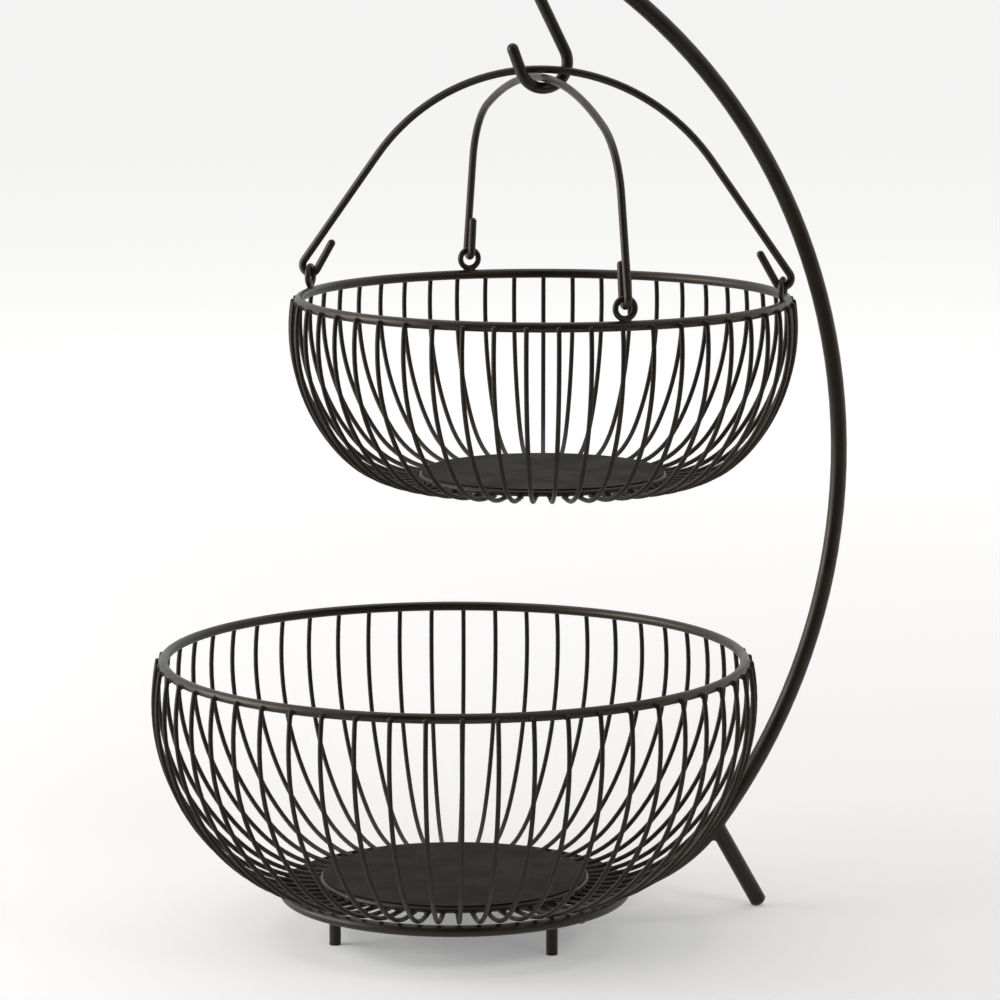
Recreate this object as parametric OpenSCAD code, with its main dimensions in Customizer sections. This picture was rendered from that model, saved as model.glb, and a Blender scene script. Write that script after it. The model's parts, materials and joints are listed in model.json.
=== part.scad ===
// Two-tier wire fruit basket. A loose lower bowl stands in the ring of a bent-rod stand, and an
// upper bowl hangs from the stand's hook by two handles that cross.
// The origin is on the table, under the middle of the outline. The pole rises on the +X side.

/* [Lower bowl] */
// Radius of the lower rim, to the middle of its wire
lower_rim_r = 150; // [145:1:155]
// Depth of the lower bowl, from the middle of the rim to the middle of the lowest rib wire
lower_depth = 118.5; // [113:0.5:124]
// How far below the rim the lower bowl is widest
lower_widest = 21; // [16:0.5:26]
// Angle by which the lower ribs lean in where the bowl's side runs into its bottom
lower_side_turn = 52; // [48:1:56]
// Radius at which the lower ribs turn in under the bowl
lower_toe_r = 65; // [58:1:70]
// Number of ribs in the lower bowl
lower_rib_count = 55; // [45:1:59]

/* [Upper bowl] */
// Radius of the upper rim, to the middle of its wire
upper_rim_r = 125.2; // [120:0.1:130]
// Depth of the upper bowl, from the middle of the rim to the middle of the lowest rib wire
upper_depth = 94; // [89:0.5:99]
// How far below the rim the upper bowl is widest
upper_widest = 15; // [11:0.5:19]
// Angle by which the upper ribs lean in where the bowl's side runs into its bottom
upper_side_turn = 42; // [38:1:46]
// Radius at which the upper ribs turn in under the bowl
upper_toe_r = 50; // [44:1:54]
// Number of ribs in the upper bowl
upper_rib_count = 51; // [41:1:55]
// Angle by which the upper ribs are turned on from half a step past the pole's side
upper_rib_turn = 2.3; // [0:0.1:7]

/* [Bowl wires] */
// Diameter of the rim wire
rim_d = 5; // [4.5:0.1:5.5]
// Diameter of the rib wire
rib_d = 2.4; // [2:0.1:2.8]
// How far the ribs' rounded tops reach above the middle of the rim
rib_rise = 0.5; // [0:0.1:1.5]
// Diameter of the ring in the bottom of each bowl
bottom_ring_d = 3; // [2.5:0.1:3.5]
// How far that ring lies inside the line along which the ribs hang lowest
bottom_ring_in = 6; // [4:0.5:8]
// How far the ribs run in past that ring
rib_past = 5; // [3:0.5:6]
// Thickness of the round plate in the bottom of each bowl
floor_t = 1; // [0.8:0.1:1.5]

/* [Stand] */
// Diameter of the pole, its foot and the rear leg
pole_d = 8.6; // [7.6:0.1:9.4]
// Diameter of the base ring, the spokes, the feet and the hook
rod_d = 6; // [5.5:0.1:6.4]
// Radius of the pole's bend, to the middle of the rod
pole_arc_r = 308.3; // [300:0.1:316]
// Height of the middle of the pole's bend above the table
pole_mid_z = 241.2; // [236:0.1:246]
// Gap from the lower rim's middle to the pole's middle where the pole stands furthest out
pole_gap = 66.3; // [60:0.1:72]
// Angle above level at which the pole ends
pole_end_angle = 71.5; // [70:0.1:73]
// Height at which the rear leg leaves the pole
leg_top_z = 46.5; // [43:0.1:50]
// How far the rear leg runs outwards on its way down
leg_run = 26.8; // [22:0.1:32]
// Radius of the rounded end on which the rear leg stands
leg_end_r = 5; // [4.6:0.1:6]
// How far the base ring lies outside the line along which the lower ribs hang lowest
base_ring_out = 14; // [9:0.5:17]
// Height of the middle of the base ring above the table
ring_z = 24.4; // [22:0.1:27]
// How far the three feet stand inside the base ring
foot_in = 23; // [14:1:32]

/* [Hook] */
// Distance from the lower bowl's axis to the upper bowl's axis
hang_x = 48.7; // [46:0.1:51.5]
// Radius of the hook's loop, to the middle of its rod
hook_r = 13; // [12.8:0.1:14]
// Height of the middle of the hook's loop above the table
hook_z = 452; // [448:0.1:456]
// Length of the straight tip of the hook
hook_tip = 12.7; // [10:0.1:16]
// Angle by which the hook's tip leans outwards
hook_tip_lean = 21; // [17:1:25]
// Angle by which the hook's shank leans away from upright
shank_lean = 27; // [25:0.5:29]
// Radius of the bend between the shank and the pole
shank_bend_r = 30; // [26:1:34]
// Angle of the pole's bend along which the shank is welded to the pole
lap_angle = 3.5; // [2.5:0.1:4.5]

/* [Handles] */
// Diameter of the handle wire
bail_d = 4; // [3.7:0.1:4.2]
// Height of the long handle's crown above the eyes
bail_rise = 104.7; // [101:0.1:108]
// Radius of the long handle's shoulders
shoulder_r = 45; // [41:0.5:49]
// How far the middle of each shoulder's bend lies inside the rim
shoulder_in = 50.2; // [47:0.1:53]
// How far the middle of each shoulder's bend lies above that of the end hook
shoulder_up = 38.9; // [36:0.1:42]
// Radius of the end hooks of both handles
end_hook_r = 4.2; // [4:0.1:4.5]
// Length of the straight open end of each handle
end_len = 16; // [12:0.5:20]
// Angle by which the long handle's open ends lean inwards
long_end_lean = 8; // [4:1:14]
// Angle by which the side handle's open ends lean inwards
side_end_lean = 30; // [24:1:34]
// Direction of the long handle's front eye, seen from above, from the pole's side
long_bail_angle = -92; // [-95:1:-89]
// Direction of the side handle's eye nearest the pole, seen from above, from the pole's side
side_bail_angle = -35; // [-40:1:-30]
// Diameter of the eye wire
eye_wire_d = 3; // [2.7:0.1:3.2]
// Radius of each eye, to the middle of its wire
eye_r = 5; // [4.9:0.1:5.5]

/* [Hidden] */
$fn = 96;
steel = "#2d2622";

// Fits: crossed wires sink into each other by the weld, parts that come apart stay clear
weld = 0.2;
eye_weld = 0.4;
clearance = 0.3;
eye_gap = 0.2;

// Where two stretches of one wire meet, one is thinner by a hair and reaches into the other by it
hair = 0.02;

// A bowl's rib is a wide side arc, then a toe arc that turns in under the bowl, then a level end
rib_top = rib_rise - rib_d / 2;
lower_side_r = side_r(lower_depth, lower_widest, lower_toe_r, lower_side_turn);
upper_side_r = side_r(upper_depth, upper_widest, upper_toe_r, upper_side_turn);
lower_side_x = side_x(lower_rim_r, lower_side_r, lower_widest);
upper_side_x = side_x(upper_rim_r, upper_side_r, upper_widest);

// Radius at which the ribs hang lowest, of the ring that lies on them there, and of the base ring
lower_low_r = lower_side_x + (lower_side_r - lower_toe_r) * cos(lower_side_turn);
upper_low_r = upper_side_x + (upper_side_r - upper_toe_r) * cos(upper_side_turn);
lower_bottom_r = lower_low_r - bottom_ring_in;
upper_bottom_r = upper_low_r - bottom_ring_in;
base_ring_r = lower_low_r + base_ring_out;
foot_r = base_ring_r - foot_in;

// Heights of the lower bowl, whose toe arcs rest in the base ring, and of the spokes just under its ribs
rest_r = lower_toe_r + (rib_d + rod_d) / 2 + clearance;
lower_toe_z = ring_z + sqrt(rest_r * rest_r - base_ring_out * base_ring_out);
lower_rim_z = lower_toe_z + lower_depth - lower_toe_r;
spoke_z = lower_toe_z - lower_toe_r - (rib_d + rod_d) / 2 - clearance;

// The outline runs from the lower bowl's outside to the pole's outside
bowl_reach = lower_side_x + lower_side_r + rib_d / 2;
pole_reach = lower_rim_r + pole_gap + pole_d / 2;
lower_x = (bowl_reach - pole_reach) / 2;
upper_x = lower_x + hang_x;

// Pole: one bend from the rear leg up and over the bowls
pole_c = [lower_x + lower_rim_r + pole_gap - pole_arc_r, pole_mid_z];
pole_low_angle = -asin((pole_mid_z - leg_top_z) / pole_arc_r);
pole_low = on_circle(pole_c, pole_arc_r, pole_low_angle);
pole_high = on_circle(pole_c, pole_arc_r, pole_end_angle);

// Pole's foot: one tighter bend, on from the pole's end and under the base ring
foot_z = ring_z - (rod_d + pole_d) / 2 + weld;
foot_to = [lower_x + base_ring_r, foot_z];
foot_way = foot_to - pole_low;
pole_outward = [cos(pole_low_angle), sin(pole_low_angle)];
foot_bend_r = -(foot_way * foot_way) / (2 * foot_way * pole_outward);
foot_bend_c = pole_low - foot_bend_r * pole_outward;
foot_past = atan(rod_d / 2 / foot_bend_r);
foot_end_angle = atan2(foot_to[1] - foot_bend_c[1], foot_to[0] - foot_bend_c[0]) - foot_past;

// Rear leg: straight on from the pole's end to the middle of its rounded end
leg_way = [leg_run, -leg_top_z];
leg_end_c = pole_low + (1 - leg_end_r / leg_top_z) * leg_way;

// Hook: loop, straight shank, and a bend that ends along the underside of the pole
hook_c = [upper_x, hook_z];
shank_from = on_circle(hook_c, hook_r, shank_lean);
shank_way = [-sin(shank_lean), cos(shank_lean)];
lap_r = pole_arc_r - (pole_d + rod_d) / 2 + weld;
bend_from_pole = shank_from - shank_bend_r * [cos(shank_lean), sin(shank_lean)] - pole_c;
bend_along = bend_from_pole * shank_way;
shank_len = sqrt(bend_along * bend_along - bend_from_pole * bend_from_pole
    + pow(lap_r - shank_bend_r, 2)) - bend_along;
shank_bend_c = pole_c + bend_from_pole + shank_len * shank_way;
lap_from = atan2(shank_bend_c[1] - pole_c[1], shank_bend_c[0] - pole_c[0]);

// The long handle hangs on the hook, and the side handle lies across it
long_apex_z = hook_z - hook_r + (rod_d + bail_d) / 2 + clearance;
side_apex_z = long_apex_z + bail_d + clearance;
eye_z = long_apex_z - bail_rise;
upper_rim_z = eye_z - rim_d / 2 - eye_r - eye_wire_d / 2 + eye_weld;

// End hooks run under the top of the eyes
end_hook_c = [upper_rim_r, eye_z + eye_r - eye_wire_d / 2 - eye_gap - bail_d / 2 + end_hook_r];

// Long handle: shoulder arcs that run into a flat top arc
shoulder_c = [upper_rim_r - shoulder_in, end_hook_c[1] + shoulder_up];
crown_drop = long_apex_z - shoulder_c[1];
crown_r = (shoulder_c[0] * shoulder_c[0] + crown_drop * crown_drop - shoulder_r * shoulder_r)
    / (2 * (crown_drop - shoulder_r));
crown_c = [0, long_apex_z - crown_r];
crown_from = atan2(shoulder_c[1] - crown_c[1], shoulder_c[0]);

// Side handle: one arc about a point level with the eyes
side_bail_c = [0, eye_z];
side_bail_r = side_apex_z - eye_z;

// The point at the angle a on a circle of radius r about c
function on_circle(c, r, a) = c + r * [cos(a), sin(a)];
// Radius of a bowl's side arc, and how far its middle lies from the bowl's axis
function side_r(depth, widest, toe_r, turn) = toe_r + (depth - widest - toe_r) / sin(turn);
function side_x(rim_r, r, widest) = rim_r + sqrt(pow((rim_d + rib_d) / 2 - weld, 2) - rib_top * rib_top)
    - sqrt(r * r - pow(widest + rib_top, 2));
// Angle at which a straight leg leaves the end hook to run into an arc of radius r about c
function leg_angle(c, r) = let (v = end_hook_c - c) atan2(v[1], v[0]) + acos((r - end_hook_r) / norm(v));

// Straight round wire from p to q, both given as [across, up]
module rod(p, q, d) {
    v = q - p;
    translate([p[0], 0, p[1]]) rotate([0, atan2(v[0], v[1]), 0]) cylinder(h = norm(v), d = d);
}

// Round wire bent to the radius r about c, from the angle a to the angle b
module bend(c, r, a, b, d) {
    translate([c[0], 0, c[1]]) rotate([90, 0, 0]) rotate([0, 0, a])
        rotate_extrude(angle = b - a) translate([r, 0]) circle(d = d, $fn = 24);
}

// The same two, as the thinner stretch that reaches into its neighbours
module link(p, q, d) {
    reach = hair * (q - p) / norm(q - p);
    rod(p - reach, q + reach, d - hair);
}
module link_bend(c, r, a, b, d) {
    reach = atan(hair / r);
    bend(c, r, a - reach, b + reach, d - hair);
}

// Round end of a wire at p, facing the angle a
module tip(p, a, d) {
    translate([p[0], 0, p[1]]) rotate([0, 90 - a, 0]) difference() {
        sphere(d = d - 2 * hair, $fn = 24);
        translate([-d, -d, -2 * d - hair]) cube(2 * d);
    }
}

// Level ring of round wire
module ring(r, d) {
    rotate_extrude() translate([r, 0]) circle(d = d, $fn = 24);
}

module at_lower() { translate([lower_x, 0, 0]) children(); }
module at_upper() { translate([upper_x, 0, 0]) children(); }
module around(count, turn = 0) {
    for (i = [0 : count - 1]) rotate([0, 0, turn + (i + 0.5) * 360 / count]) children();
}

// One rib of a bowl, whose side arc of radius r has its middle at c
module rib(c, r, turn, widest, toe_r, bottom_r) {
    top_angle = asin((widest + rib_top) / r);
    toe_c = on_circle(c, r - toe_r, -turn);
    low_z = toe_c[1] - toe_r;
    tip(on_circle(c, r, top_angle), top_angle + 90, rib_d);
    bend(c, r, -turn, top_angle, rib_d);
    link_bend(toe_c, toe_r, -90, -turn, rib_d);
    rod([bottom_r - rib_past, low_z], [toe_c[0], low_z], rib_d);
}

// Height of the middle of the ring that lies on the ribs in the bottom of a bowl
function bottom_ring_z(rim_z, depth) = rim_z - depth + (rib_d + bottom_ring_d) / 2 - weld;

module bottom_ring(rim_z, depth, r) {
    translate([0, 0, bottom_ring_z(rim_z, depth)]) ring(r, bottom_ring_d);
}

module floor_plate(rim_z, depth, r) {
    translate([0, 0, bottom_ring_z(rim_z, depth) + bottom_ring_d / 2 - weld]) cylinder(h = floor_t, r = r);
}

module pole() {
    color(steel) bend(pole_c, pole_arc_r, pole_low_angle, pole_end_angle, pole_d);
    color(steel) tip(pole_high, pole_end_angle + 90, pole_d);
}

module pole_foot() {
    color(steel) link_bend(foot_bend_c, foot_bend_r, foot_end_angle, pole_low_angle, pole_d);
}

// The rear leg's end is rounded off by a ball a little wider than the rod
module rear_leg() {
    color(steel) intersection() {
        rod(pole_low, pole_low + leg_way, pole_d);
        union() {
            rod(pole_low - leg_way, leg_end_c, pole_d / 2 + leg_end_r);
            translate([leg_end_c[0], 0, leg_end_c[1]]) sphere(r = leg_end_r);
        }
    }
}

module base_ring() { color(steel) at_lower() translate([0, 0, ring_z]) ring(base_ring_r, rod_d); }

// Three spokes that end against the inside of the base ring, and a foot under each
spoke_end = base_ring_r - rod_d / 2 + weld;
module at_spokes() { for (a = [60, 180, 300]) rotate([0, 0, a]) children(); }
module base_spokes() { color(steel) at_lower() at_spokes() rod([0, spoke_z], [spoke_end, spoke_z], rod_d); }
module feet() { color(steel) at_lower() at_spokes() rod([foot_r, 0], [foot_r, spoke_z], rod_d); }

module hook() {
    tip_angle = 180 + hook_tip_lean;
    tip_from = on_circle(hook_c, hook_r, tip_angle);
    tip_to = tip_from + hook_tip * [-sin(hook_tip_lean), cos(hook_tip_lean)];
    color(steel) {
        tip(tip_to, 90 + hook_tip_lean, rod_d);
        link(tip_from, tip_to, rod_d);
        bend(hook_c, hook_r, tip_angle, 360 + shank_lean, rod_d);
        link(shank_from, shank_from + shank_len * shank_way, rod_d);
        bend(shank_bend_c, shank_bend_r, shank_lean, lap_from, rod_d);
        link_bend(pole_c, lap_r, lap_from, lap_from + lap_angle, rod_d);
    }
}

module lower_rim() { color(steel) at_lower() translate([0, 0, lower_rim_z]) ring(lower_rim_r, rim_d); }

module lower_ribs() {
    side_c = [lower_side_x, lower_rim_z - lower_widest];
    color(steel) at_lower() around(lower_rib_count)
        rib(side_c, lower_side_r, lower_side_turn, lower_widest, lower_toe_r, lower_bottom_r);
}

module lower_bottom_ring() { color(steel) at_lower() bottom_ring(lower_rim_z, lower_depth, lower_bottom_r); }
module lower_floor() { color(steel) at_lower() floor_plate(lower_rim_z, lower_depth, lower_bottom_r); }

module upper_rim() { color(steel) at_upper() translate([0, 0, upper_rim_z]) ring(upper_rim_r, rim_d); }

module upper_ribs() {
    side_c = [upper_side_x, upper_rim_z - upper_widest];
    color(steel) at_upper() around(upper_rib_count, upper_rib_turn)
        rib(side_c, upper_side_r, upper_side_turn, upper_widest, upper_toe_r, upper_bottom_r);
}

module upper_bottom_ring() { color(steel) at_upper() bottom_ring(upper_rim_z, upper_depth, upper_bottom_r); }
module upper_floor() { color(steel) at_upper() floor_plate(upper_rim_z, upper_depth, upper_bottom_r); }

// An eye stands on the rim, with its hole towards the bowl's axis
module eye(a) {
    color(steel) at_upper() rotate([0, 0, a]) translate([upper_rim_r, 0, eye_z])
        rotate([0, 90, 0]) ring(eye_r, eye_wire_d);
}
module eye_front() { eye(long_bail_angle); }
module eye_back() { eye(long_bail_angle + 180); }
module eye_left() { eye(side_bail_angle + 180); }
module eye_right() { eye(side_bail_angle); }

// One side of a handle, from its open end through the eye to the arc of radius r about c
module bail_end(c, r, lean) {
    a = leg_angle(c, r);
    from = on_circle(end_hook_c, end_hook_r, 180 + lean);
    open_end = from + end_len * [-sin(lean), cos(lean)];
    tip(open_end, 90 + lean, bail_d);
    link(from, open_end, bail_d);
    bend(end_hook_c, end_hook_r, 180 + lean, 360 + a, bail_d);
    link(on_circle(end_hook_c, end_hook_r, a), on_circle(c, r, a), bail_d);
}
module both_sides() {
    children();
    mirror([1, 0, 0]) children();
}

module long_bail() {
    color(steel) at_upper() rotate([0, 0, long_bail_angle]) {
        both_sides() {
            bail_end(shoulder_c, shoulder_r, long_end_lean);
            bend(shoulder_c, shoulder_r, leg_angle(shoulder_c, shoulder_r), crown_from, bail_d);
        }
        link_bend(crown_c, crown_r, crown_from, 180 - crown_from, bail_d);
    }
}

module side_bail() {
    a = leg_angle(side_bail_c, side_bail_r);
    color(steel) at_upper() rotate([0, 0, side_bail_angle]) {
        both_sides() bail_end(side_bail_c, side_bail_r, side_end_lean);
        bend(side_bail_c, side_bail_r, a, 180 - a, bail_d);
    }
}

pole();
pole_foot();
rear_leg();
base_ring();
base_spokes();
feet();
hook();
lower_rim();
lower_ribs();
lower_bottom_ring();
lower_floor();
upper_rim();
upper_ribs();
upper_bottom_ring();
upper_floor();
eye_front();
eye_back();
eye_left();
eye_right();
long_bail();
side_bail();
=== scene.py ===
"""Looks of a two-tier wire fruit basket: welds, powder coat, floor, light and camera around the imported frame."""
import json
import math

import bpy
import numpy as np
from bpy.props import FloatProperty, FloatVectorProperty, IntProperty, PointerProperty
from bpy.types import Operator, Panel, PropertyGroup
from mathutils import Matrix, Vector


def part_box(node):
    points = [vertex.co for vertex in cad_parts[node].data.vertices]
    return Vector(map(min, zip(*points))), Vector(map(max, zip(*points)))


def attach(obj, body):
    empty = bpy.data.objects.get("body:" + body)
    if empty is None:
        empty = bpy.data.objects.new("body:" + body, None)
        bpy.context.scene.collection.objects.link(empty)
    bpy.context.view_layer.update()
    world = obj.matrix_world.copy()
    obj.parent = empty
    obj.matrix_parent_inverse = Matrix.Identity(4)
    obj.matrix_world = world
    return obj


bl_info = {
    "name": "Wire Fruit Basket",
    "version": (1, 0, 0),
    "blender": (4, 5, 0),
    "location": "View3D > Sidebar > Fruit Basket",
    "description": "Welds, powder coat and studio for a two-tier wire fruit basket",
    "category": "Object",
}

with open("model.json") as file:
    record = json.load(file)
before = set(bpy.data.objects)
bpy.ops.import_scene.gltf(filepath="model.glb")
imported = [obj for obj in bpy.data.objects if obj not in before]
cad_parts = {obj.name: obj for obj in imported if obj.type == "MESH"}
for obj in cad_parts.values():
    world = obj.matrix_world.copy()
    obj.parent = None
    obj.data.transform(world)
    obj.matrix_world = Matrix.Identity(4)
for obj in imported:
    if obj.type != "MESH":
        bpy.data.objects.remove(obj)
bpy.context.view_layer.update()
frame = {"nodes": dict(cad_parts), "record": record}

MM = 0.001
SEED = 7
PLATES = ("lower_floor", "upper_floor")
SLOT_OF_NODE = {row["node"]: row["material_slot"] for row in frame["record"]["subparts"]}


# ---------------------------------------------------------------- places read from the frame

def corners(node):
    """Lowest and highest corner of a CAD node, as arrays."""
    low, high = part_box(node)
    return np.array(low), np.array(high)


def ring_of(node):
    """A level ring's middle, the radius to the middle of its wire, and the wire's thickness, from the node's box."""
    low, high = corners(node)
    thick = high[2] - low[2]
    return (low + high) / 2, (high[0] - low[0] - thick) / 2, thick


def round_the(centre, radius, degrees, height):
    """Points on a level circle: centre + radius (cos a, sin a), at one height."""
    a = np.radians(np.atleast_1d(degrees))
    return np.stack([centre[0] + radius * np.cos(a), centre[1] + radius * np.sin(a), np.full(a.shape, height)], -1)


def turned_axes(degrees):
    """For each angle, three axes as columns: along the circle, upwards, and away from its middle."""
    a = np.radians(np.atleast_1d(degrees))
    zero, one = np.zeros(a.shape), np.ones(a.shape)
    along = np.stack([-np.sin(a), np.cos(a), zero], -1)
    up = np.stack([zero, zero, one], -1)
    away = np.stack([np.cos(a), np.sin(a), zero], -1)
    return np.stack([along, up, away], -1)


def rib_angles(count, turn):
    """The ribs stand evenly round a bowl, the first half a step and a turn past the bowl's +X side."""
    return turn + (np.arange(count) + 0.5) * 360 / count


# ---------------------------------------------------------------- surfaces

def grid_faces(rows, cols, closed_rows=False):
    """Quads of a grid of points whose columns go round, from its point numbers row by row."""
    r = np.arange(rows if closed_rows else rows - 1)[:, None]
    c = np.arange(cols)[None, :]
    r1, c1 = (r + 1) % rows, (c + 1) % cols
    return np.stack(np.broadcast_arrays(r * cols + c, r * cols + c1, r1 * cols + c1, r1 * cols + c), -1).reshape(-1, 4)


def cap_faces(pole, first, cols, flip):
    """Triangles from a pole to a closed line of points that starts at the number first."""
    c = np.arange(cols)
    a, b = first + c, first + (c + 1) % cols
    return np.stack([np.full(cols, pole), b, a] if flip else [np.full(cols, pole), a, b], -1)


def bead_mesh(centres, axes, halves, rows=5, cols=10):
    """Rounded beads, one to a centre: (p cos u cos v, q cos u sin v, r sin u) with half sizes p, q, r along its axes."""
    u = np.linspace(-np.pi / 2, np.pi / 2, rows + 2)[1:-1, None]
    v = np.arange(cols)[None, :] * 2 * np.pi / cols
    body = np.stack(np.broadcast_arrays(np.cos(u) * np.cos(v), np.cos(u) * np.sin(v), np.sin(u)), -1).reshape(-1, 3)
    unit = np.vstack([body, [[0, 0, -1], [0, 0, 1]]])
    n, each = len(centres), len(unit)
    halves = np.broadcast_to(halves, (n, 3))
    points = centres[:, None] + np.einsum("nij,nj,pj->npi", axes, halves, unit)
    last = rows * cols
    quads = grid_faces(rows, cols)
    caps = np.vstack([cap_faces(last, 0, cols, True), cap_faces(last + 1, last - cols, cols, False)])
    shift = (np.arange(n) * each)[:, None, None]
    return points.reshape(-1, 3), (quads + shift).reshape(-1, 4).tolist() + (caps + shift).reshape(-1, 3).tolist()


def wire_mesh(path, radii, sides=14):
    """A round wire along a path in the plane Y = const: at each point a circle of that radius, square to the path."""
    way = np.gradient(path, axis=0)
    way /= np.linalg.norm(way, axis=1)[:, None]
    side = np.cross([0.0, 1.0, 0.0], way)
    v = np.arange(sides) * 2 * np.pi / sides
    ring = np.cos(v)[None, :, None] * side[:, None] + np.sin(v)[None, :, None] * np.array([0.0, 1.0, 0.0])
    points = (path[:, None] + radii[:, None, None] * ring).reshape(-1, 3)
    rows = len(path)
    points = np.vstack([points, path[:1], path[-1:]])
    last = rows * sides
    caps = np.vstack([cap_faces(last, 0, sides, True), cap_faces(last + 1, last - sides, sides, False)])
    return points, grid_faces(rows, sides).tolist() + caps.tolist()


def corner_mesh(corner, way_a, way_b, rod_radius, hollow, half_width, rows=13, cols=15):
    """The hollow weld in the corner between two rods that meet in the plane Y = const.

    In each plane y the rods show as two lines, sqrt(R^2 - y^2) off their middles. A circle whose radius h shrinks
    to nothing at both ends, h = H sqrt(1 - (y/w)^2), touches both lines, and the weld's face is its arc between
    the two touching points. A point inside the rods closes each row, and the end rows shrink to a point.
    """
    a, b = np.array(way_a) / np.linalg.norm(way_a), np.array(way_b) / np.linalg.norm(way_b)
    half = math.acos(float(a @ b)) / 2
    between = (a + b) / np.linalg.norm(a + b)
    y = np.linspace(-1, 1, rows + 2)[1:-1] * half_width
    off = np.sqrt(rod_radius ** 2 - y ** 2)
    radius = hollow * np.sqrt(1 - (y / half_width) ** 2)
    middle = np.array(corner) + ((off + radius) / math.sin(half))[:, None] * between
    square = np.cross([0.0, 1.0, 0.0], between)
    turn = np.linspace(-(math.pi / 2 - half), math.pi / 2 - half, cols)[None, :, None]
    face = middle[:, None] + radius[:, None, None] * (np.sin(turn) * square - np.cos(turn) * between)
    inside = np.broadcast_to(np.array(corner), (rows, 1, 3))
    grid = np.concatenate([face, inside], 1)
    grid[:, :, 1] = corner[1] + y[:, None]
    ends = grid[[0, -1]].mean(1)
    points = np.vstack([grid.reshape(-1, 3), ends])
    last = rows * (cols + 1)
    caps = np.vstack([cap_faces(last, 0, cols + 1, True),
                      cap_faces(last + 1, last - cols - 1, cols + 1, False)])
    return points, grid_faces(rows, cols + 1).tolist() + caps.tolist()


def joined(*parts):
    """Several sets of points and faces as one."""
    points, faces, start = [], [], 0
    for some, theirs in parts:
        points.append(some)
        faces += [[i + start for i in face] for face in theirs]
        start += len(some)
    return np.vstack(points), faces


def add_piece(name, shape, body, material):
    """Puts points and faces into a smooth mesh piece at the origin, on its body and with its finish."""
    points, faces = shape
    mesh = bpy.data.meshes.new(name)
    mesh.from_pydata(points.tolist(), [], faces)
    mesh.shade_smooth()
    mesh.validate()
    piece = bpy.data.objects.new(name, mesh)
    bpy.context.scene.collection.objects.link(piece)
    mesh.materials.append(material)
    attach(piece, body)
    return piece


# ---------------------------------------------------------------- finishes

def socket(group, name, way, kind, default=None):
    """One named input or output of a node group."""
    made = group.interface.new_socket(name=name, in_out=way, socket_type=kind)
    if default is not None:
        made.default_value = default


def noise_at(tree, size_socket, detail, roughness=0.5):
    """Noise over Object coordinates, with grains of the size that the socket gives, in metres."""
    where = tree.nodes.new("ShaderNodeTexCoord")
    per = tree.nodes.new("ShaderNodeMath")
    per.operation = "DIVIDE"
    per.inputs[0].default_value = 1.0
    noise = tree.nodes.new("ShaderNodeTexNoise")
    noise.inputs["Detail"].default_value = detail
    noise.inputs["Roughness"].default_value = roughness
    tree.links.new(size_socket, per.inputs[1])
    tree.links.new(where.outputs["Object"], noise.inputs["Vector"])
    tree.links.new(per.outputs[0], noise.inputs["Scale"])
    return noise.outputs["Fac"]


def spread(tree, value, low, high, to_low, to_high):
    """Map Range from low..high to to_low..to_high, held at both ends."""
    node = tree.nodes.new("ShaderNodeMapRange")
    for i, number in enumerate((low, high, to_low, to_high), start=1):
        if isinstance(number, bpy.types.NodeSocket):
            tree.links.new(number, node.inputs[i])
        else:
            node.inputs[i].default_value = number
    tree.links.new(value, node.inputs[0])
    return node.outputs[0]


def coat_tone_group():
    """Powder coat colour: cloudy patches a little lighter and warmer than the coat, and fine pale specks on them."""
    group = bpy.data.node_groups.new("Coat Tone", "ShaderNodeTree")
    socket(group, "Coat", "INPUT", "NodeSocketColor", (0.02, 0.015, 0.012, 1))
    socket(group, "Bloom", "INPUT", "NodeSocketColor", (0.05, 0.04, 0.03, 1))
    socket(group, "Patch Size", "INPUT", "NodeSocketFloat", 0.03)
    socket(group, "Speck Size", "INPUT", "NodeSocketFloat", 0.001)
    socket(group, "Amount", "INPUT", "NodeSocketFloat", 0.5)
    socket(group, "Color", "OUTPUT", "NodeSocketColor")
    given, result = group.nodes.new("NodeGroupInput"), group.nodes.new("NodeGroupOutput")
    patch = spread(group, noise_at(group, given.outputs["Patch Size"], 3.0), 0.38, 0.66, 0.0, 0.7)
    speck = spread(group, noise_at(group, given.outputs["Speck Size"], 2.0), 0.56, 0.72, 0.0, 0.5)
    add = group.nodes.new("ShaderNodeMath")
    add.operation = "ADD"
    scale = group.nodes.new("ShaderNodeMath")
    scale.operation = "MULTIPLY"
    scale.use_clamp = True
    mix = group.nodes.new("ShaderNodeMix")
    mix.data_type = "RGBA"
    link = group.links.new
    link(patch, add.inputs[0])
    link(speck, add.inputs[1])
    link(add.outputs[0], scale.inputs[0])
    link(given.outputs["Amount"], scale.inputs[1])
    link(scale.outputs[0], mix.inputs[0])
    link(given.outputs["Coat"], mix.inputs[6])
    link(given.outputs["Bloom"], mix.inputs[7])
    link(mix.outputs[2], result.inputs["Color"])
    return group


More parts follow.
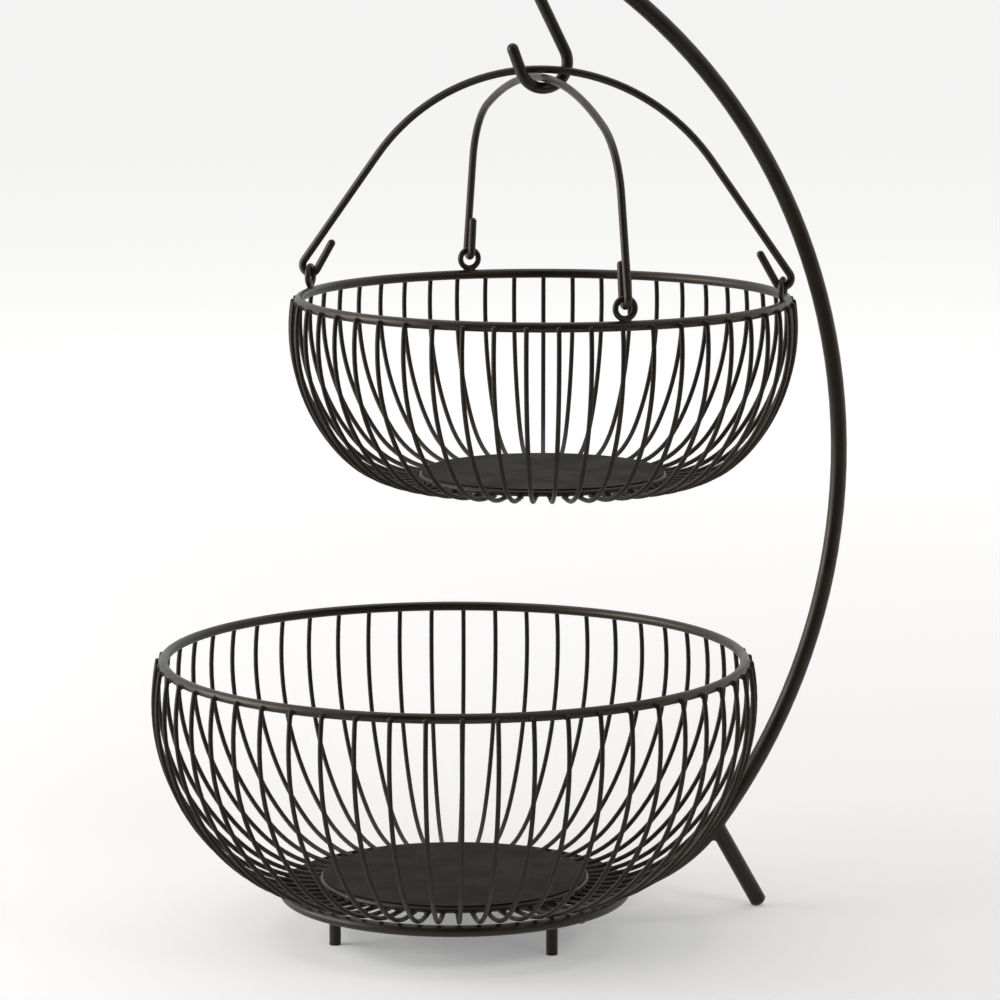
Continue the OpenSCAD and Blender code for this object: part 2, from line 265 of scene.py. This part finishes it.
def orange_peel_group():
    """The low, pebbled relief that powder coat dries with, and the gloss that changes over it."""
    group = bpy.data.node_groups.new("Orange Peel", "ShaderNodeTree")
    socket(group, "Grain Size", "INPUT", "NodeSocketFloat", 0.0012)
    socket(group, "Smoothest", "INPUT", "NodeSocketFloat", 0.34)
    socket(group, "Roughest", "INPUT", "NodeSocketFloat", 0.5)
    socket(group, "Height", "OUTPUT", "NodeSocketFloat")
    socket(group, "Roughness", "OUTPUT", "NodeSocketFloat")
    given, result = group.nodes.new("NodeGroupInput"), group.nodes.new("NodeGroupOutput")
    pebble = noise_at(group, given.outputs["Grain Size"], 2.0)
    cloud_size = group.nodes.new("ShaderNodeMath")
    cloud_size.operation = "MULTIPLY"
    cloud_size.inputs[1].default_value = 18.0
    group.links.new(given.outputs["Grain Size"], cloud_size.inputs[0])
    cloud = noise_at(group, cloud_size.outputs[0], 3.0)
    rough = spread(group, cloud, 0.35, 0.65, given.outputs["Smoothest"], given.outputs["Roughest"])
    group.links.new(pebble, result.inputs["Height"])
    group.links.new(rough, result.inputs["Roughness"])
    return group


def coat_material(name, finish, grain, relief, bloom_amount, duller=0.0):
    """Satin dark brown powder coat on steel: tone and relief from the two groups, into one Principled BSDF.

    What duller gives is added to the roughness, and takes as much of the shine away.
    """
    material = bpy.data.materials.new(name)
    material.use_nodes = True
    tree = material.node_tree
    shader = tree.nodes["Principled BSDF"]
    tone = tree.nodes.new("ShaderNodeGroup")
    tone.node_tree = bpy.data.node_groups.get("Coat Tone") or coat_tone_group()
    tone.inputs["Coat"].default_value = (*finish.coat, 1)
    tone.inputs["Bloom"].default_value = (*finish.bloom, 1)
    tone.inputs["Patch Size"].default_value = finish.patch_size
    tone.inputs["Speck Size"].default_value = finish.speck_size
    tone.inputs["Amount"].default_value = bloom_amount
    peel = tree.nodes.new("ShaderNodeGroup")
    peel.node_tree = bpy.data.node_groups.get("Orange Peel") or orange_peel_group()
    peel.inputs["Grain Size"].default_value = grain
    peel.inputs["Smoothest"].default_value = finish.smoothest + duller
    peel.inputs["Roughest"].default_value = finish.roughest + duller
    bump = tree.nodes.new("ShaderNodeBump")
    bump.inputs["Strength"].default_value = 0.6
    bump.inputs["Distance"].default_value = relief
    link = tree.links.new
    link(tone.outputs["Color"], shader.inputs["Base Color"])
    link(peel.outputs["Roughness"], shader.inputs["Roughness"])
    link(peel.outputs["Height"], bump.inputs["Height"])
    link(bump.outputs["Normal"], shader.inputs["Normal"])
    shader.inputs["Metallic"].default_value = 0.0
    shader.inputs["Specular IOR Level"].default_value = finish.shine * (1 - 2.2 * duller)
    shader.inputs["Specular Tint"].default_value = (*finish.shine_tint, 1)
    return material


def weld_coat():
    """The coat over a weld: coarser grain and deeper relief than on plain wire."""
    finish = bpy.context.scene.basket_finish
    return bpy.data.materials.get("coat_on_weld") or coat_material(
        "coat_on_weld", finish, finish.grain_size * 1.5, finish.relief * 3, 0.5)


# ---------------------------------------------------------------- sizes and colours that a user may change

class BasketFinish(PropertyGroup):
    coat: FloatVectorProperty(
        name="Coat", description="Colour of the powder coat", subtype="COLOR", default=(0.0052, 0.0038, 0.0026))
    bloom: FloatVectorProperty(
        name="Bloom", description="Colour of its lighter patches and specks", subtype="COLOR",
        default=(0.021, 0.0165, 0.0120))
    patch_size: FloatProperty(
        name="Patch Size", description="Width of the coat's cloudy patches", default=0.022, unit="LENGTH")
    speck_size: FloatProperty(
        name="Speck Size", description="Width of the coat's pale specks", default=0.0009, unit="LENGTH")
    grain_size: FloatProperty(
        name="Grain Size", description="Width of the coat's orange-peel pebbles", default=0.0013, unit="LENGTH")
    relief: FloatProperty(
        name="Relief", description="Height of the coat's orange-peel pebbles", default=0.00006, unit="LENGTH")
    smoothest: FloatProperty(name="Smoothest", description="Roughness where the coat shines most", default=0.34)
    roughest: FloatProperty(name="Roughest", description="Roughness where the coat shines least", default=0.46)
    shine: FloatProperty(name="Shine", description="Strength of the coat's reflection seen square on", default=0.4)
    rib_dullness: FloatProperty(
        name="Rib Dullness", description="How much rougher the coat dries on the thin ribs", default=0.1)
    # Painted shade: the plates' coat is made rougher and far less shiny, so that the plates render near black as if
    # they lay in shade.
    plate_shade_dulling: FloatProperty(
        name="Plate Shade Dulling", description="How much rougher the coat dries on the bowls' flat plates", default=0.32)
    shine_tint: FloatVectorProperty(
        name="Shine Tint", description="Colour of that reflection", subtype="COLOR", default=(1.0, 0.86, 0.72))


class BasketWelds(PropertyGroup):
    lower_ribs: IntProperty(name="Lower Ribs", description="Number of ribs in the lower bowl", default=55)
    upper_ribs: IntProperty(name="Upper Ribs", description="Number of ribs in the upper bowl", default=51)
    lower_turn: FloatProperty(
        name="Lower Turn", description="Angle by which the lower ribs are turned on", subtype="ANGLE", default=0.0)
    upper_turn: FloatProperty(
        name="Upper Turn", description="Angle by which the upper ribs are turned on", subtype="ANGLE",
        default=math.radians(2.3))
    rib_half: FloatVectorProperty(
        name="Rib Weld", description="Half sizes of a rib's weld: along the rim, up, and through the joint",
        default=(0.0019, 0.0017, 0.0010), unit="LENGTH")
    bottom_half: FloatVectorProperty(
        name="Bottom Weld", description="Half sizes of a weld under the bottom ring: along the ring, up, and outwards",
        default=(0.0019, 0.0008, 0.0019), unit="LENGTH")
    eye_half: FloatVectorProperty(
        name="Eye Weld", description="Half sizes of the weld under an eye: along the rim, up, and outwards",
        default=(0.0034, 0.0012, 0.0019), unit="LENGTH")
    rod_half: FloatVectorProperty(
        name="Rod Weld", description="Half sizes of a weld between two crossed rods: along the ring, up, and outwards",
        default=(0.0040, 0.0013, 0.0040), unit="LENGTH")
    spoke_half: FloatVectorProperty(
        name="Spoke Weld", description="Half sizes of the weld round a spoke's end: along the ring, up, and outwards",
        default=(0.0040, 0.0032, 0.0019), unit="LENGTH")
    leg_top: FloatProperty(
        name="Leg Top", description="Height at which the rear leg leaves the pole", default=0.0465, unit="LENGTH")
    leg_run: FloatProperty(
        name="Leg Run", description="How far the rear leg runs outwards on its way down", default=0.0268, unit="LENGTH")
    inner_hollow: FloatProperty(
        name="Inner Hollow", description="Radius of the hollow weld between the rear leg and the pole's foot",
        default=0.0026, unit="LENGTH")
    foot_lean: FloatProperty(
        name="Foot Lean", description="Angle by which the pole's foot has turned inwards at the end of that weld",
        subtype="ANGLE", default=math.radians(3.4))
    outer_hollow: FloatProperty(
        name="Outer Hollow", description="Radius of the hollow weld between the rear leg and the pole",
        default=0.0016, unit="LENGTH")
    unevenness: FloatProperty(
        name="Unevenness", description="How much the welds' sizes differ from one to the next", default=0.10)
    pole_bend_radius: FloatProperty(
        name="Pole Bend", description="Radius of the pole's bend, to the middle of the rod", default=0.3083, unit="LENGTH")
    pole_bend_middle: FloatVectorProperty(
        name="Pole Bend Middle", description="Middle of the pole's bend", subtype="TRANSLATION", unit="LENGTH",
        default=(-0.12401, 0.0, 0.2412))
    lap_angles: FloatVectorProperty(
        name="Hook Lap", description="Angles on the pole's bend between which the hook is welded to it", size=2,
        subtype="EULER", default=(math.radians(68.2), math.radians(71.5)))


class BasketStudio(PropertyGroup):
    floor_colour: FloatVectorProperty(
        name="Floor", description="Colour of the floor", subtype="COLOR", default=(0.82, 0.81, 0.80))
    floor_size: FloatProperty(name="Floor Size", description="Width of the floor", default=60.0, unit="LENGTH")
    floor_glow_near: FloatProperty(
        name="Glow Near", description="How much the background lifts the floor round the feet", default=0.22)
    floor_glow_far: FloatProperty(
        name="Glow Far", description="How much the background lifts the floor far off", default=0.62)
    world_light: FloatProperty(name="World Light", description="Strength of the light from all round", default=0.34)
    card_size: FloatVectorProperty(
        name="Card Size", description="Width and height of the dark card behind the camera", size=2, unit="LENGTH",
        default=(3.3, 4.0))
    card_shift: FloatProperty(
        name="Card Shift", description="How far the card stands to the right of the camera", default=0.95,
        unit="LENGTH")
    card_away: FloatProperty(
        name="Card Distance", description="Distance of the dark card from the basket", default=0.7, unit="LENGTH")
    card_colour: FloatVectorProperty(
        name="Card", description="Colour of the dark card", subtype="COLOR", default=(0.06, 0.055, 0.05))
    camera_at: FloatVectorProperty(
        name="Camera", description="Place of the camera", subtype="TRANSLATION", unit="LENGTH",
        default=(-0.7578, -2.0629, 0.5771))
    camera_way: FloatVectorProperty(
        name="Camera Direction", description="Direction in which the camera looks", subtype="DIRECTION",
        default=(0.3378, 0.9280, -0.1572))
    lens: FloatProperty(name="Lens", description="Focal length on a 36 mm sensor, in millimetres", default=155.17)


def uneven(halves, count, draw):
    """Half sizes for each weld, each changed at random by up to the unevenness."""
    amount = bpy.context.scene.basket_welds.unevenness
    return np.array(halves) * (1 + amount * draw.uniform(-1, 1, (count, 3)))


# ---------------------------------------------------------------- one operator to a group of pieces

class FRUIT_OT_coat_wires(Operator):
    """Give every wire and rod of the frame its powder coat"""
    bl_idname = "fruit_basket.coat_wires"
    bl_label = "Coat the Wires"

    def execute(self, context):
        finish = context.scene.basket_finish
        coats = {
            "frame_wire": coat_material("coat_on_rod", finish, finish.grain_size, finish.relief, 0.55),
            "rib_wire": coat_material("coat_on_rib", finish, finish.grain_size * 0.8, finish.relief, 0.3, finish.rib_dullness),
        }
        # Painted shade: the plates get a rougher, far less shiny and less patchy copy of the coat, so that they render
        # near black as if shaded.
        shaded_plate_coat = coat_material("shaded_coat_on_plate", finish, finish.grain_size, finish.relief, 0.25, finish.plate_shade_dulling)
        for name, node in frame["nodes"].items():
            node.data.materials.clear()
            node.data.materials.append(shaded_plate_coat if name in PLATES else coats[SLOT_OF_NODE[name]])
        return {"FINISHED"}


class FRUIT_OT_weld_bowls(Operator):
    """Weld the ribs of both bowls to their rims and bottom rings"""
    bl_idname = "fruit_basket.weld_bowls"
    bl_label = "Weld the Bowls"

    def execute(self, context):
        welds = context.scene.basket_welds
        draw = np.random.default_rng(SEED)
        for bowl, body, count, turn in (("lower", "lower_basket", welds.lower_ribs, welds.lower_turn),
                                        ("upper", "hanging_basket", welds.upper_ribs, welds.upper_turn)):
            angles = rib_angles(count, math.degrees(turn))
            axes = turned_axes(angles)
            centre, radius, thick = ring_of(f"{bowl}_rim")
            at_rim = round_the(centre, radius + thick / 2 - 0.1 * MM, angles, centre[2] - 0.9 * MM)
            add_piece(f"{bowl}_rim_welds", bead_mesh(at_rim, axes, uneven(welds.rib_half, count, draw)),
                      body, weld_coat())
            centre, radius, thick = ring_of(f"{bowl}_bottom_ring")
            under = round_the(centre, radius, angles, centre[2] - thick / 2 + 0.1 * MM)
            add_piece(f"{bowl}_bottom_welds", bead_mesh(under, axes, uneven(welds.bottom_half, count, draw)),
                      body, weld_coat())
        return {"FINISHED"}


class FRUIT_OT_weld_eyes(Operator):
    """Weld the four handle eyes to the upper rim"""
    bl_idname = "fruit_basket.weld_eyes"
    bl_label = "Weld the Eyes"

    def execute(self, context):
        welds = context.scene.basket_welds
        draw = np.random.default_rng(SEED + 1)
        rim, radius, thick = ring_of("upper_rim")
        for name in ("eye_front", "eye_back", "eye_left", "eye_right"):
            low, high = corners(name)
            middle = (low + high) / 2
            angle = math.degrees(math.atan2(middle[1] - rim[1], middle[0] - rim[0]))
            at = round_the(rim, radius, angle, low[2] + 0.3 * MM)
            add_piece(f"{name}_weld", bead_mesh(at, turned_axes(angle), uneven(welds.eye_half, 1, draw), 9, 18),
                      "hanging_basket", weld_coat())
        return {"FINISHED"}


class FRUIT_OT_weld_stand(Operator):
    """Weld the stand: ring to spokes, spokes to feet and to each other at the hub, pole foot to ring"""
    bl_idname = "fruit_basket.weld_stand"
    bl_label = "Weld the Stand"

    def execute(self, context):
        welds = context.scene.basket_welds
        draw = np.random.default_rng(SEED + 2)
        ring, radius, thick = ring_of("base_ring")
        spokes = np.array([60.0, 180.0, 300.0])
        low, high = corners("base_spokes")
        spoke_z, spoke_r = (low[2] + high[2]) / 2, (high[2] - low[2]) / 2
        ends = bead_mesh(round_the(ring, radius - thick / 2, spokes, spoke_z), turned_axes(spokes),
                         uneven(welds.spoke_half, 3, draw), 9, 18)
        under_ring = bead_mesh(round_the(ring, radius, 0.0, ring[2] - thick / 2 + 0.1 * MM), turned_axes(0.0),
                               uneven(welds.rod_half, 1, draw), 9, 18)
        add_piece("base_ring_welds", joined(ends, under_ring), "stand", weld_coat())

        feet_low, _ = corners("feet")
        foot_radius = ring[0] - feet_low[0] - spoke_r
        at = round_the(ring, foot_radius, spokes, spoke_z - spoke_r + 0.2 * MM)
        feet = bead_mesh(at, turned_axes(spokes), uneven(welds.rod_half, 3, draw), 9, 18)
        hub = bead_mesh(np.array([[ring[0], ring[1], spoke_z]]), turned_axes(0.0),
                        np.array([4.8, 3.3, 4.8]) * MM, 11, 24)
        add_piece("spoke_welds", joined(feet, hub), "stand", weld_coat())
        return {"FINISHED"}


class FRUIT_OT_weld_leg(Operator):
    """Fill the two corners in which the rear leg meets the pole and its foot"""
    bl_idname = "fruit_basket.weld_leg"
    bl_label = "Weld the Rear Leg"

    def execute(self, context):
        welds = context.scene.basket_welds
        middle = np.array(welds.pole_bend_middle)
        drop = middle[2] - welds.leg_top
        reach = math.sqrt(welds.pole_bend_radius ** 2 - drop ** 2)
        corner = middle + np.array([reach, 0.0, -drop])
        up_pole = np.array([drop, 0.0, reach])
        turned, straight = math.sin(welds.foot_lean), math.cos(welds.foot_lean)
        down_foot = -up_pole * straight + np.array([-reach, 0.0, drop]) * turned
        down_leg = np.array([welds.leg_run, 0.0, -welds.leg_top])
        rod_radius = corners("pole")[1][1]
        width = 0.97 * rod_radius
        inner = corner_mesh(corner, down_foot, down_leg, rod_radius, welds.inner_hollow, width)
        outer = corner_mesh(corner, up_pole, down_leg, rod_radius, welds.outer_hollow, width)
        add_piece("rear_leg_welds", joined(inner, outer), "stand", weld_coat())
        return {"FINISHED"}


class FRUIT_OT_weld_hook(Operator):
    """Weld the hook's end along the underside of the pole"""
    bl_idname = "fruit_basket.weld_hook"
    bl_label = "Weld the Hook"

    def execute(self, context):
        welds = context.scene.basket_welds
        draw = np.random.default_rng(SEED + 3)
        rod = corners("pole")[1][1]
        seams = []
        for side in (-1, 1):
            a = np.linspace(*welds.lap_angles, 40)
            t = np.linspace(0, 1, 40)
            middle = np.array(welds.pole_bend_middle)
            reach = welds.pole_bend_radius - rod - 0.05 * MM
            path = middle + np.stack([reach * np.cos(a), np.full(40, side * 1.9 * MM), reach * np.sin(a)], -1)
            swell = np.sqrt(np.clip(4 * t * (1 - t), 0, 1)) ** 0.6
            ripple = 1 + 0.08 * np.sin(2 * np.pi * (9 * t + draw.uniform()))
            seams.append(wire_mesh(path, np.maximum(1.35 * MM * swell * ripple, 0.02 * MM)))
        add_piece("hook_welds", joined(*seams), "stand", weld_coat())
        return {"FINISHED"}


class FRUIT_OT_set_studio(Operator):
    """Lay the floor, light the basket and place the camera"""
    bl_idname = "fruit_basket.set_studio"
    bl_label = "Set the Studio"

    def execute(self, context):
        studio = context.scene.basket_studio
        lay_floor(studio)
        hang_dark_card(studio)
        light_world(studio)
        add_lamp("window_lamp", (-1.45, 0.39, 0.56), (0.0, 0.0, 0.56), (1.1, 1.1), 23)
        add_lamp("front_lamp", (0.9, -2.2, 1.6), (0.0, 0.0, 0.25), (0.8, 0.8), 12)
        add_lamp("top_lamp", (0.1, 0.4, 2.4), (0.0, 0.0, 0.25), (2.6, 2.6), 18)
        data = bpy.data.cameras.new("camera")
        data.lens = studio.lens
        data.sensor_width = 36.0
        data.clip_end = 100.0
        camera = bpy.data.objects.new("camera", data)
        camera.location = studio.camera_at
        camera.rotation_euler = Vector(studio.camera_way).to_track_quat("-Z", "Y").to_euler()
        context.scene.collection.objects.link(camera)
        context.scene.camera = camera
        context.scene.view_settings.view_transform = "Standard"
        return {"FINISHED"}


def backdrop_rays(tree):
    """One for rays that see the background: the camera's, and those that reflect or pass through. Zero for light."""
    rays = tree.nodes.new("ShaderNodeLightPath")
    seen = None
    for name in ("Is Camera Ray", "Is Glossy Ray", "Is Transmission Ray"):
        if seen is None:
            seen = rays.outputs[name]
            continue
        more = tree.nodes.new("ShaderNodeMath")
        more.operation = "MAXIMUM"
        tree.links.new(seen, more.inputs[0])
        tree.links.new(rays.outputs[name], more.inputs[1])
        seen = more.outputs[0]
    return seen


def lay_floor(studio):
    """A level pale sheet under the feet. It keeps the shadow, and away from the object it glows up to white."""
    half = studio.floor_size / 2
    mesh = bpy.data.meshes.new("floor")
    mesh.from_pydata([(-half, -half, 0), (half, -half, 0), (half, half, 0), (-half, half, 0)], [], [(0, 1, 2, 3)])
    floor = bpy.data.objects.new("floor", mesh)
    bpy.context.scene.collection.objects.link(floor)
    material = bpy.data.materials.new("floor")
    material.use_nodes = True
    tree = material.node_tree
    shader = tree.nodes["Principled BSDF"]
    shader.inputs["Base Color"].default_value = (*studio.floor_colour, 1)
    shader.inputs["Roughness"].default_value = 0.9
    shader.inputs["Specular IOR Level"].default_value = 0.0
    shader.inputs["Emission Color"].default_value = (1, 1, 1, 1)
    where = tree.nodes.new("ShaderNodeTexCoord")
    away = tree.nodes.new("ShaderNodeVectorMath")
    away.operation = "LENGTH"
    tree.links.new(where.outputs["Object"], away.inputs[0])
    glow = spread(tree, away.outputs["Value"], 0.3, 2.0, studio.floor_glow_near, studio.floor_glow_far)
    lift = tree.nodes.new("ShaderNodeMath")
    lift.operation = "MULTIPLY"
    tree.links.new(backdrop_rays(tree), lift.inputs[0])
    tree.links.new(glow, lift.inputs[1])
    tree.links.new(lift.outputs[0], shader.inputs["Emission Strength"])
    mesh.materials.append(material)


def hang_dark_card(studio):
    """The unlit room behind the camera, as a dark card that only reflections show: it lights and shades nothing."""
    way = Vector((studio.camera_way[0], studio.camera_way[1], 0)).normalized()
    along = Vector((way.y, -way.x, 0)) * studio.card_size[0] / 2
    foot = -way * studio.card_away + along.normalized() * studio.card_shift
    top = Vector((0, 0, studio.card_size[1]))
    mesh = bpy.data.meshes.new("dark_card")
    mesh.from_pydata([foot - along, foot + along, foot + along + top, foot - along + top], [], [(0, 1, 2, 3)])
    card = bpy.data.objects.new("dark_card", mesh)
    card.visible_camera = False
    card.visible_diffuse = False
    card.visible_shadow = False
    card.visible_transmission = False
    bpy.context.scene.collection.objects.link(card)
    material = bpy.data.materials.new("dark_card")
    material.use_nodes = True
    shader = material.node_tree.nodes["Principled BSDF"]
    shader.inputs["Base Color"].default_value = (*studio.card_colour, 1)
    shader.inputs["Specular IOR Level"].default_value = 0.0
    mesh.materials.append(material)


def light_world(studio):
    """White for the rays that see the background, and a plain level of light for everything else."""
    world = bpy.data.worlds.new("studio")
    world.use_nodes = True
    bpy.context.scene.world = world
    tree = world.node_tree
    back = tree.nodes["Background"]
    back.inputs["Color"].default_value = (1, 1, 1, 1)
    level = spread(tree, backdrop_rays(tree), 0.0, 1.0, studio.world_light, 1.0)
    tree.links.new(level, back.inputs["Strength"])


def add_lamp(name, at, aim, sizes, power):
    """A soft lamp, so wide and so high, that stands at one point and faces another."""
    data = bpy.data.lights.new(name, "AREA")
    data.shape = "RECTANGLE"
    data.size, data.size_y = sizes
    data.energy = power
    lamp = bpy.data.objects.new(name, data)
    lamp.location = at
    lamp.visible_camera = False
    lamp.rotation_euler = (Vector(aim) - Vector(at)).to_track_quat("-Z", "Y").to_euler()
    bpy.context.scene.collection.objects.link(lamp)


STEPS = (
    FRUIT_OT_coat_wires,
    FRUIT_OT_weld_bowls,
    FRUIT_OT_weld_eyes,
    FRUIT_OT_weld_stand,
    FRUIT_OT_weld_leg,
    FRUIT_OT_weld_hook,
    FRUIT_OT_set_studio,
)


class FRUIT_PT_panel(Panel):
    """Lists the steps and their settings"""
    bl_idname = "FRUIT_PT_panel"
    bl_label = "Fruit Basket"
    bl_space_type = "VIEW_3D"
    bl_region_type = "UI"
    bl_category = "Fruit Basket"

    def draw(self, context):
        for step in STEPS:
            self.layout.operator(step.bl_idname)
        for group in (context.scene.basket_finish, context.scene.basket_welds, context.scene.basket_studio):
            box = self.layout.box()
            for name in group.__annotations__:
                box.prop(group, name)


GROUPS = {"basket_finish": BasketFinish, "basket_welds": BasketWelds, "basket_studio": BasketStudio}
CLASSES = (*GROUPS.values(), *STEPS, FRUIT_PT_panel)


def register():
    for each in CLASSES:
        bpy.utils.register_class(each)
    for name, group in GROUPS.items():
        setattr(bpy.types.Scene, name, PointerProperty(type=group))


def unregister():
    for name in GROUPS:
        delattr(bpy.types.Scene, name)
    for each in reversed(CLASSES):
        bpy.utils.unregister_class(each)


def main():
    """Runs every step in order."""
    register()
    bpy.ops.fruit_basket.coat_wires()
    bpy.ops.fruit_basket.weld_bowls()
    bpy.ops.fruit_basket.weld_eyes()
    bpy.ops.fruit_basket.weld_stand()
    bpy.ops.fruit_basket.weld_leg()
    bpy.ops.fruit_basket.weld_hook()
    bpy.ops.fruit_basket.set_studio()


if __name__ == "__main__":
    main()
